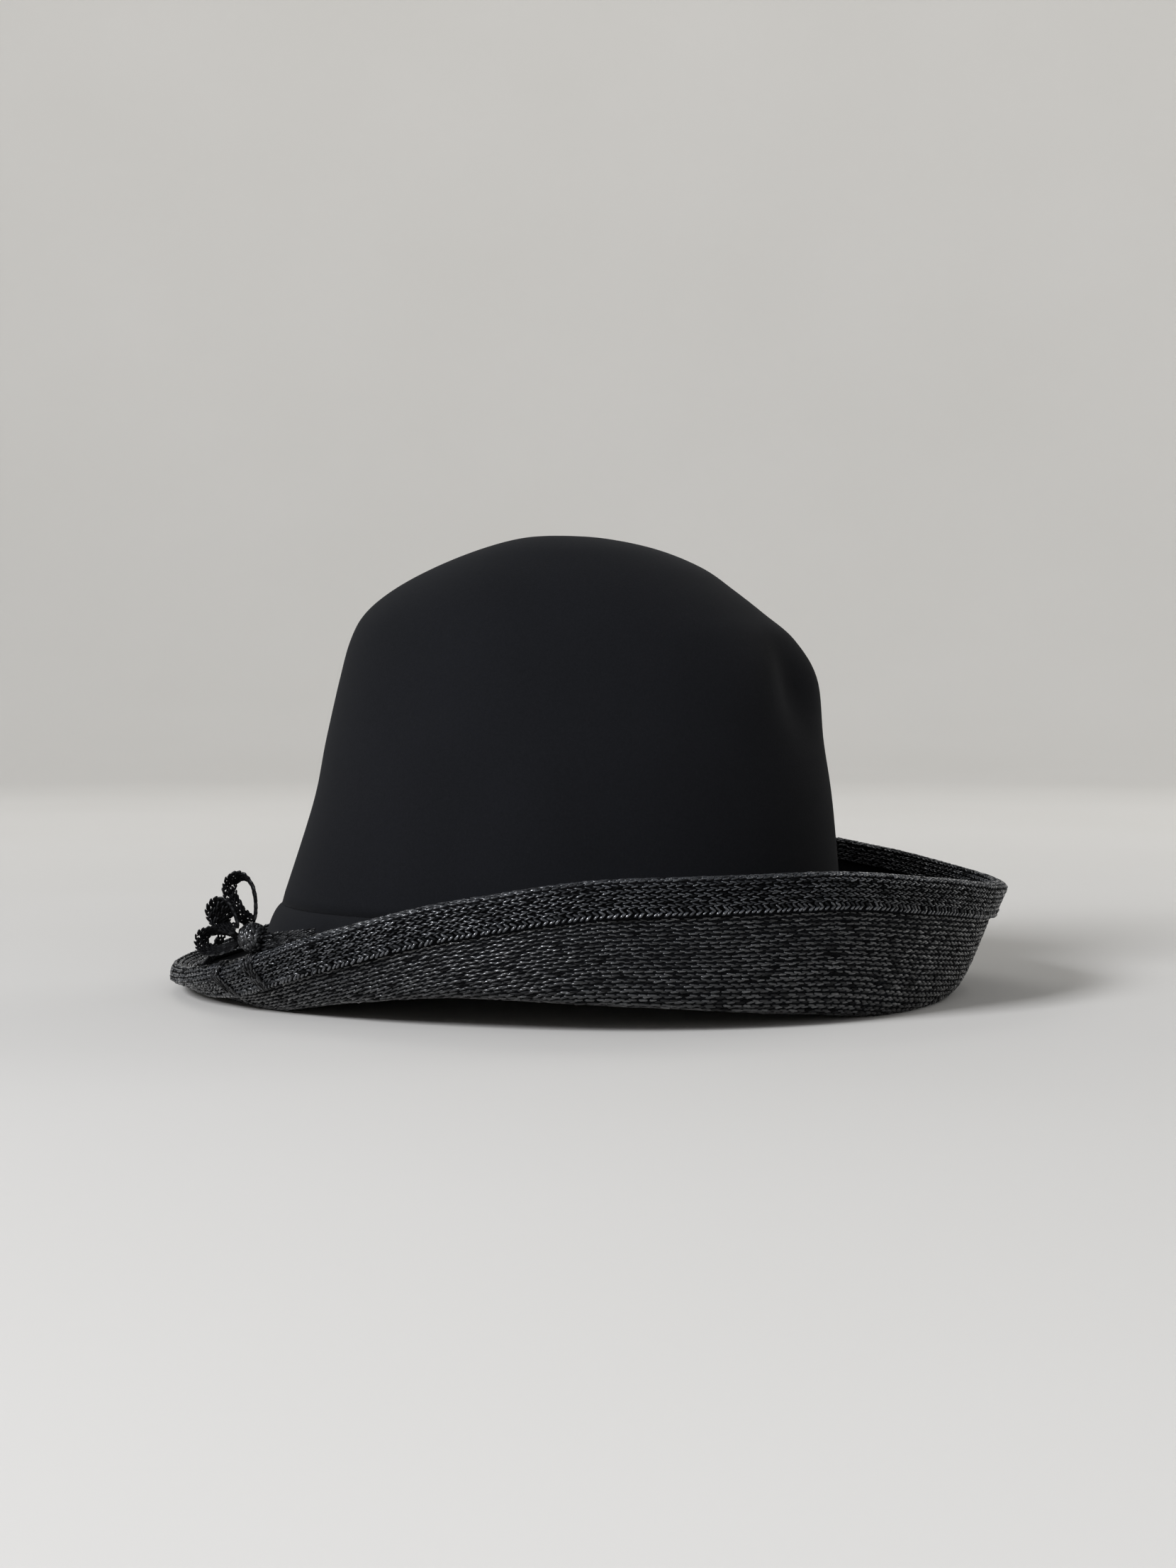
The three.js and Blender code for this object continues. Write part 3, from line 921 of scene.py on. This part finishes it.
@dataclass
class EdgeBinding:
    """Braid folded over the edge of the brim, with a raised plait along its lower margin."""

    form: HatForm
    placing: Placing
    wall: float = 1.1
    gap: float = 0.4
    outer: float = 9.9
    inner: float = 6.6
    cord_width: float = 2.2
    tip_steps: int = 8
    tip_reach: float = 0.9
    row_spacing: float = 1.5
    turns: int = 256
    phase_step: float = 0.2  # share of the pitch by which a row starts later than the last
    phase_spread: float = 0.2
    rows_seed: int = 21
    cord_seed: int = 22
    cord_lift: float = 0.25
    cord_tone: float = 1.0
    cell: Cell = Cell(length=2.9, width=0.66, height=0.95, lean=14.0, aside=0.26, pitch=2.6, lift=0.1)
    # The cord's cells on one side keep only part of their tone: painted shade on the leg turned from the
    # light
    cord_cell: Cell = Cell(length=2.7, width=0.95, height=1.1, lean=33.0, aside=0.5, pitch=1.95,
                           lift=0.0, dip=10.0, loose=1.7, shade=0.4, lay=Lay.CHEVRON)

    def outline(self) -> list[tuple[float, float]]:
        """Gives the strip's section.

        Returns:
            Inset from the edge and offset from the brim's outer face of each corner, outer leg first.
        """
        face = self.gap + self.wall
        under = -self.form.brim_wall - self.gap
        radius = (face - under + self.wall) / 2
        middle = face - radius
        tip = [
            (-self.tip_reach * math.sin(math.pi * k / self.tip_steps),
             middle + radius * math.cos(math.pi * k / self.tip_steps))
            for k in range(self.tip_steps + 1)]
        return [(self.outer, self.gap), (self.outer, face), *tip, (self.inner, under - self.wall),
                (self.inner, under), (-self.gap, under), (-self.gap, self.gap)]

    def build(self, finish: bpy.types.Material) -> None:
        """Folds the plain strip round the edge.

        Args:
            finish: Finish of the strip.
        """
        corners = self.outline()
        mesh, turn, step = turned_surface(len(corners), self.turns, closed=True)
        spots = [self.form.beside_edge(inset, offset)[0] for inset, offset in corners]
        at = np.round((turn % FULL_TURN) / FULL_TURN * self.form.turns).astype(int) % self.form.turns
        reach = np.array([spots[k][i, 0] for k, i in zip(step, at)])
        height = np.array([spots[k][i, 1] for k, i in zip(step, at)])
        move_to(mesh, self.form.around(turn, reach, height), reverse=False)
        bmesh.ops.recalc_face_normals(mesh, faces=mesh.faces[:])
        enter(self.placing.moved(mesh), "binding_strip", finish, ["edge_binding"])

    def ring(self, inset: float, offset: float, lean: float) -> tuple[Array, Array]:
        """Runs a ring round the binding.

        Args:
            inset: Distance in from the edge.
            offset: Distance out from the brim's outer face.
            lean: Angle of the strip's face from that outer face, in degrees.

        Returns:
            Points of the ring and directions out of the strip there.
        """
        turn = self.form.table["turn"]
        spot, out = self.form.beside_edge(inset, offset)
        upward = np.stack([-out[:, 1], out[:, 0]], -1)
        face = math.cos(math.radians(lean)) * out + math.sin(math.radians(lean)) * upward
        return (self.form.around(turn, spot[:, 0], spot[:, 1]),
                self.form.around(turn, face[:, 0], face[:, 1]))

    def dress(self, finish: bpy.types.Material) -> None:
        """Lays the fine rows over the strip, and the raised plait along its lower margin.

        Args:
            finish: Finish of the rows.
        """
        corners = np.array(self.outline()[1:-3])
        corners[0, 0] -= self.cord_width
        sides = np.diff(corners, axis=0)
        lengths = distances(corners)
        facing = np.degrees(np.unwrap(np.arctan2(-sides[:, 1], -sides[:, 0])))
        middles = (lengths[1:] + lengths[:-1]) / 2
        count = round(lengths[-1] / self.row_spacing)
        rows = Plait(self.rows_seed)
        phase = 0.0
        for place in (np.arange(count) + 0.5) * lengths[-1] / count:
            inset, offset = (float(np.interp(place, lengths, corners[:, k])) for k in (0, 1))
            points, normals = self.ring(inset, offset, float(np.interp(place, middles, facing)))
            rows.add_row(points, normals, self.cell, True, phase=phase)
            phase += rows.random.normal(self.phase_step, self.phase_spread)
        enter(self.placing.joined(rows), "binding_rows", finish)
        cord = Plait(self.cord_seed)
        points, normals = self.ring(
            self.outer - self.cord_width / 2, self.gap + self.wall + self.cord_lift, 0.0)
        cord.add_row(points, normals, self.cord_cell, True, tone=self.cord_tone)
        enter(self.placing.joined(cord), "binding_cord", finish)


@dataclass(frozen=True)
class LoopSize:
    """One loop of the bow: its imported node, lean in degrees, sizes in mm, number of gaps and seed."""

    node: str
    lean: float
    length: float
    width: float
    strip: float
    inward: float
    gaps: int
    seed: int


BOW_LOOPS = (
    LoopSize("bow_loop_upper", 67, 15.5, 10, 5, 3, 1, 45),
    LoopSize("bow_loop_middle", 40, 11, 8, 5, -3, 3, 46),
    LoopSize("bow_loop_back", -6, 14.5, 7.5, 5, 0, 1, 44),
)
# Turns of braid round the knot: how they lean in degrees, and how far aside they lie in mm
KNOT_TURNS = ((0, -2.6), (0, -0.9), (0, 0.9), (0, 2.6), (55, 0.0), (-60, 0.6), (90, 0.0))


@dataclass
class Bow:
    """Small bow of open-work braid on the edge, behind the wearer's right ear."""

    form: HatForm
    placing: Placing
    binding: EdgeBinding
    angle: float = 139.0
    swing: float = 20.0
    strip_wall: float = 1.3
    knot_radius: float = 5.0
    knot_inset: float = 0.7  # of the middle of the cells under the knot's outside
    knot_wide: float = 1.6
    gap: float = 0.3
    bulge_at: float = 0.35
    bulge_out: float = 0.6
    loop_end: float = 0.72
    loop_root: float = 0.3
    loop_margin: float = 0.8
    strand_length: float = 22.0
    strand_strip: float = 5.0
    strand_end: float = 1.6
    strand_levels: tuple[float, ...] = (0.08, 0.36, 0.64, 0.92)
    strand_narrow: float = 0.45
    strand_widen: float = 0.5
    tail_start: float = 18.0
    tail_length: float = 12.0
    tail_drop: float = 8.0
    tail_rows: tuple[float, ...] = (-1.1, 0.0, 1.1)
    tail_wide: float = 0.8
    slant: float = 38.0  # of a loop's strip, so that its face shows from beside the hat
    strip_rows: int = 4
    tone: float = 0.42
    dull: float = 0.28  # tone of the strand and of the turns round the binding
    wrap_rows: int = 4
    wrap_spacing: float = 1.25
    wrap_lift: float = 0.6
    loop_samples: int = 24
    bridge_samples: int = 9
    knot_samples: int = 48
    strand_samples: int = 40
    tail_samples: int = 24
    wrap_samples: int = 40
    knot_seed: int = 41
    strand_seed: int = 51
    tail_seed: int = 52
    wrap_seed: int = 61
    strand_cell: Cell = Cell(length=3.2, width=0.9, height=1.0, lean=9.0, aside=0.28, pitch=2.3, lift=0.0)
    margin: Cell = Cell(length=2.5, width=0.9, height=1.0, lean=18.0, aside=0.33, pitch=1.9, lift=0.0)

    def edge_top(self, turn: Array) -> Array:
        """Finds the top of the binding.

        Args:
            turn: Angles from the front.

        Returns:
            Reach of the binding's middle and height of its highest point.
        """
        ring = self.form.table["turn"]
        middle = self.form.beside_edge(0.0, -self.form.brim_wall / 2)[0][:, 0]
        spots = [self.form.beside_edge(inset, offset)[0][:, 1] for inset, offset in self.binding.outline()]
        height = np.max(spots, axis=0)
        return np.stack([np.interp(turn, ring, middle), np.interp(turn, ring, height)], -1)

    def along_edge(self, along: Array, height: Array, inward: Array) -> Array:
        """Places points by their distance back from the knot, height above the binding and distance in.

        Args:
            along: Distances back from the knot.
            height: Heights above the binding.
            inward: Distances towards the crown.

        Returns:
            The points.
        """
        start = math.radians(self.angle)
        turn = start + np.asarray(along, float) / self.edge_top(np.array([start]))[0, 0]
        top = self.edge_top(turn)
        return self.form.around(turn, top[:, 0] - inward, top[:, 1] + height)

    def basis(self) -> tuple[Array, Array]:
        """Finds the bow's own place and directions.

        Returns:
            The place on the edge, and the directions back, up and inward as rows.
        """
        ends = self.along_edge(np.array([-1.0, 0.0, 1.0]), 0.0, 0.0)
        back = (ends[2] - ends[0]) * (1, 1, 0)
        swing = math.radians(self.swing)
        turned = np.array([
            [math.cos(swing), -math.sin(swing), 0], [math.sin(swing), math.cos(swing), 0], [0, 0, 1]])
        back = unit(turned @ back)
        up = np.array([0.0, 0.0, 1.0])
        return ends[1], np.stack([back, up, np.cross(back, up)])

    def strip(self, plait: Plait, path: Array, wide: Array, normals: Array, half: float) -> None:
        """Lays a strip of braid, of several plaited rows side by side.

        Args:
            plait: Plait that takes the cells.
            path: Points along the middle of the strip.
            wide: Directions across the strip.
            normals: Directions out of its face.
            half: Half the distance between its outermost rows.
        """
        for side in np.linspace(-1, 1, self.strip_rows):
            plait.add_row(path + wide * half * side, normals, self.margin, False, tone=self.tone)

    def loop_path(self, size: LoopSize) -> Array:
        """Follows the middle of a loop's strip from its root round the end and back.

        Args:
            size: The loop.

        Returns:
            Points in the loop's plane.
        """
        length = size.length - self.strip_wall / 2
        width = size.width - self.strip_wall
        out = width * self.bulge_out
        end = width * self.loop_end
        root = self.strip_wall / 2
        low = np.array([[0, -root], [length * self.bulge_at, -out], [length, -end], [length, 0]], float)
        lower = bezier(low[None], np.linspace(0, 1, self.loop_samples))[0]
        return np.concatenate([lower, (lower * (1, -1))[::-1][1:]])

    def build_loop(self, size: LoopSize, finish: bpy.types.Material) -> None:
        """Bends a strip into a loop, with a bridge between each of its gaps.

        Args:
            size: The loop.
            finish: Finish of the braid.
        """
        origin, axes = self.basis()
        lean = math.radians(size.lean)
        turn = np.array([[math.cos(lean), math.sin(lean)], [-math.sin(lean), math.cos(lean)]])

        def to_hat(flat: Array) -> Array:
            """Moves points in the loop's plane to the hat."""
            moved = (flat + (self.knot_radius + self.gap, 0)) @ turn
            solid = np.column_stack([
                moved[:, 0], moved[:, 1] + self.knot_radius + self.gap, np.full(len(flat), size.inward)])
            return origin + solid @ axes

        plait = Plait(size.seed)
        outline = self.loop_path(size)
        half = size.strip / 2 - self.loop_margin
        start = size.length * self.loop_root
        pitch = (size.length - self.strip_wall - start) / size.gaps
        paths = [outline]
        lower = outline[:self.loop_samples]
        for number in range(1, size.gaps):
            at = start + pitch * number
            tall = -float(np.interp(at, lower[:, 0], lower[:, 1]))
            rise = np.linspace(-tall, tall, self.bridge_samples)
            paths.append(np.column_stack([np.full(self.bridge_samples, at), rise]))
        slant = math.radians(self.slant)
        for path in paths:
            ahead = unit(np.gradient(path, axis=0))
            facing = np.column_stack([ahead[:, 1], -ahead[:, 0]])
            points = to_hat(path)
            normals = to_hat(path + facing) - points
            wide = math.cos(slant) * axes[2] - math.sin(slant) * normals
            face = math.cos(slant) * normals + math.sin(slant) * axes[2]
            self.strip(plait, points, wide, face, half)
        enter(self.placing.joined(plait), size.node + "_braid", finish, [size.node])

    def build_knot(self, finish: bpy.types.Material) -> None:
        """Wraps the knot: turns of braid round the middle of the bow.

        Args:
            finish: Finish of the braid.
        """
        origin, axes = self.basis()
        middle = origin + axes[1] * (self.knot_radius + self.gap)
        plait = Plait(self.knot_seed)
        turns = np.linspace(0, FULL_TURN, self.knot_samples, endpoint=False)
        radius = self.knot_radius - self.knot_inset
        for lean, shift in KNOT_TURNS:
            tip = math.radians(lean)
            hub = axes[0] * math.cos(tip) + axes[1] * math.sin(tip)
            first = axes[1] * math.cos(tip) - axes[0] * math.sin(tip)
            around = math.sqrt(radius ** 2 - shift ** 2)
            spokes = np.cos(turns)[:, None] * first + np.sin(turns)[:, None] * axes[2]
            points = middle + hub * shift + spokes * around
            plait.add_row(
                points, unit(points - middle), self.margin, True, wide=self.knot_wide, tone=self.tone)
        enter(self.placing.joined(plait), "bow_knot_braid", finish, ["bow_knot"])

    def build_ends(self, finish: bpy.types.Material) -> None:
        """Lays the strand that runs forward along the edge, and the tail that drops to it.

        Args:
            finish: Finish of the braid.
        """
        plait = Plait(self.strand_seed)
        along = -self.knot_radius - self.gap - np.linspace(0, self.strand_length, self.strand_samples)
        share = np.linspace(1, 0, self.strand_samples)
        tall = self.strand_end + (self.strand_strip - self.strand_end) * share
        wide = self.strand_narrow + self.strand_widen * share
        for level in self.strand_levels:
            points = self.along_edge(along, self.gap + tall * level, 0.0)
            normals = points - self.along_edge(along, self.gap + tall * level, 1.0)
            plait.add_row(points, normals, self.strand_cell, False, wide=wide, tone=self.dull)
        enter(self.placing.joined(plait), "bow_strand_braid", finish, ["bow_strand"])
        plait = Plait(self.tail_seed)
        share = np.linspace(1, 0, self.tail_samples)
        along = self.tail_start + self.tail_length * (1 - share)
        height = self.gap + self.strip_wall / 2 + self.tail_drop * share ** 2
        for inward in self.tail_rows:
            points = self.along_edge(along, height, inward)
            normals = self.along_edge(along, height + 1, inward) - points
            plait.add_row(points, normals, self.margin, False, wide=self.tail_wide, tone=self.tone)
        enter(self.placing.joined(plait), "bow_tail_braid", finish, ["bow_tail"])

    def build_wraps(self, finish: bpy.types.Material) -> None:
        """Ties the bow on: the strip passes round the binding under the knot and under the tail.

        Args:
            finish: Finish of the braid.
        """
        corners = np.array(self.binding.outline()[1:-3])
        lengths = distances(corners)
        places = np.linspace(0, lengths[-1], self.wrap_samples)
        path = np.stack([np.interp(places, lengths, corners[:, k]) for k in (0, 1)], -1)
        ahead = unit(np.gradient(path, axis=0))
        out = np.column_stack([ahead[:, 1], -ahead[:, 0]])
        start = math.radians(self.angle)
        reach = self.edge_top(np.array([start]))[0, 0]
        ring = self.form.table["turn"]
        plait = Plait(self.wrap_seed)
        for along in (0.0, self.tail_start):
            for row in np.arange(self.wrap_rows) - (self.wrap_rows - 1) / 2:
                turn = start + (along + row * self.wrap_spacing) / reach
                lines = []
                for lift in (self.wrap_lift, self.wrap_lift + 1):
                    spots = [self.form.beside_edge(*spot)[0] for spot in path + out * lift]
                    places = np.array([[np.interp(turn, ring, spot[:, k]) for k in (0, 1)] for spot in spots])
                    lines.append(self.form.around(np.full(len(places), turn), places[:, 0], places[:, 1]))
                plait.add_row(lines[0], lines[1] - lines[0], self.margin, False, tone=self.dull)
        enter(self.placing.joined(plait), "bow_wraps", finish)

    def build(self, finish: bpy.types.Material) -> None:
        """Makes the whole bow.

        Args:
            finish: Finish of the braid.
        """
        self.build_knot(finish)
        for size in BOW_LOOPS:
            self.build_loop(size, finish)
        self.build_ends(finish)
        self.build_wraps(finish)


@dataclass(frozen=True)
class Lamp:
    """Square soft lamp: where it hangs and the length of its side, in metres, its watts and its colour."""

    name: str
    place: Point
    size: float
    watts: float
    colour: str = "#ffffff"


HAT_LAMPS = (
    Lamp("key_lamp", (-1.45, 1.45, 1.3), 0.75, 72.0, "#f7f9ff"),
    Lamp("fill_lamp", (-1.3, -0.7, 0.8), 1.0, 3.0, "#f4f7ff"),
    Lamp("back_lamp", (1.1, 0.6, 1.3), 0.9, 4.0),
    Lamp("front_lamp", (1.0, -1.3, 0.9), 0.8, 5.0),
)
# Lamps that light the sweep of the floor: the direction that each faces, and its watts
BACKDROP_LAMPS = ((1, 0, 20.0), (0, 1, 6.0), (-1, 0, 6.0), (0, -1, 20.0))


@dataclass
class Studio:
    """Pale floor that sweeps up far behind, soft lamps, and the camera beside the hat, in metres."""

    floor_flat: float = 1.7
    floor_rise: float = 1.1
    sweep_samples: int = 13
    floor_turns: int = 96
    floor_merge: float = 1e-5
    backdrop_reach: float = 0.9
    backdrop_height: float = 1.9
    backdrop_far: float = 2.6  # reach and height of the point that a backdrop lamp faces
    backdrop_middle: float = 1.0
    backdrop_size: float = 1.2
    room_colour: str = "#f2f2f2"
    room_strength: float = 0.2
    camera_distance: float = 0.9
    camera_azimuth: float = 270.0
    camera_elevation: float = 2.5
    lens: float = 60.0
    aim: Point = (0.0, 0.0, 0.07)

    def build_floor(self, paint: bpy.types.Material) -> None:
        """Turns the floor from a flat line that curves up at its end.

        Args:
            paint: Finish of the floor.
        """
        mesh = bmesh.new()
        chain = [mesh.verts.new((0.0, 0.0, 0.0))]
        for angle in np.linspace(0, math.pi / 2, self.sweep_samples):
            chain.append(mesh.verts.new((
                self.floor_flat + self.floor_rise * math.sin(angle), 0.0,
                self.floor_rise * (1 - math.cos(angle)))))
        edges = [mesh.edges.new(pair) for pair in zip(chain, chain[1:])]
        bmesh.ops.spin(mesh, geom=chain + edges, cent=(0, 0, 0), axis=(0, 0, 1), dvec=(0, 0, 0),
                       angle=FULL_TURN, steps=self.floor_turns, use_merge=True, use_duplicate=False)
        bmesh.ops.remove_doubles(mesh, verts=mesh.verts[:], dist=self.floor_merge)
        data = bpy.data.meshes.new("floor")
        mesh.to_mesh(data)
        mesh.free()
        data.shade_smooth()
        data.materials.append(paint)
        floor = bpy.data.objects.new("floor", data)
        bpy.context.scene.collection.objects.link(floor)

    def hang(self, lamp: Lamp, towards: Point) -> None:
        """Hangs a lamp.

        Args:
            lamp: The lamp.
            towards: Point that it faces.
        """
        light = bpy.data.lights.new(lamp.name, "AREA")
        light.size = lamp.size
        light.energy = lamp.watts
        light.color = linear(lamp.colour)[:3]
        holder = bpy.data.objects.new(lamp.name, light)
        holder.location = lamp.place
        holder.rotation_euler = (Vector(towards) - Vector(lamp.place)).to_track_quat("-Z", "Y").to_euler()
        bpy.context.scene.collection.objects.link(holder)

    def build_light(self) -> None:
        """Hangs the lamps and sets the even light of the room."""
        for lamp in HAT_LAMPS:
            self.hang(lamp, self.aim)
        for number, (x, y, watts) in enumerate(BACKDROP_LAMPS, start=1):
            place = (self.backdrop_reach * x, self.backdrop_reach * y, self.backdrop_height)
            towards = (self.backdrop_far * x, self.backdrop_far * y, self.backdrop_middle)
            self.hang(Lamp(f"backdrop_lamp_{number}", place, self.backdrop_size, watts), towards)
        world = bpy.data.worlds.new("room_light")
        world.use_nodes = True
        fill_inputs(world.node_tree, world.node_tree.nodes["Background"], {
            "Color": linear(self.room_colour), "Strength": self.room_strength})
        bpy.context.scene.world = world
        bpy.context.scene.view_settings.view_transform = "Standard"

    def build_camera(self) -> None:
        """Stands the camera beside the hat, a little above the floor."""
        azimuth, elevation = math.radians(self.camera_azimuth), math.radians(self.camera_elevation)
        back = Vector((math.sin(azimuth) * math.cos(elevation), -math.cos(azimuth) * math.cos(elevation),
                       math.sin(elevation)))
        data = bpy.data.cameras.new("camera")
        data.lens = self.lens
        camera = bpy.data.objects.new("camera", data)
        camera.location = Vector(self.aim) + back * self.camera_distance
        camera.rotation_euler = (-back).to_track_quat("-Z", "Y").to_euler()
        bpy.context.scene.collection.objects.link(camera)
        bpy.context.scene.camera = camera


def main() -> None:
    """Builds the hat and the studio in order."""
    felt = WoolFelt().material()
    braid = PlaitedStraw("lacquered_straw_braid", "#050506", "#26282b").material()
    tape = CottonTape().material()
    edging = PlaitedStraw("lacquered_straw_binding", "#060708", "#303338").material()
    lace = PlaitedStraw("lacquered_straw_open_work", "#050506", "#26282b").material()
    form = HatForm()
    form.measure()
    placing = Placing()
    Crown(form, placing).build(felt)
    brim = Brim(form, placing)
    brim.build(felt)
    brim.dress(braid)
    binding = EdgeBinding(form, placing)
    binding.build(tape)
    binding.dress(edging)
    Bow(form, placing, binding).build(lace)
    studio = Studio()
    studio.build_floor(PaintedFloor().material())
    studio.build_light()
    studio.build_camera()


if __name__ == "__main__":
    main()
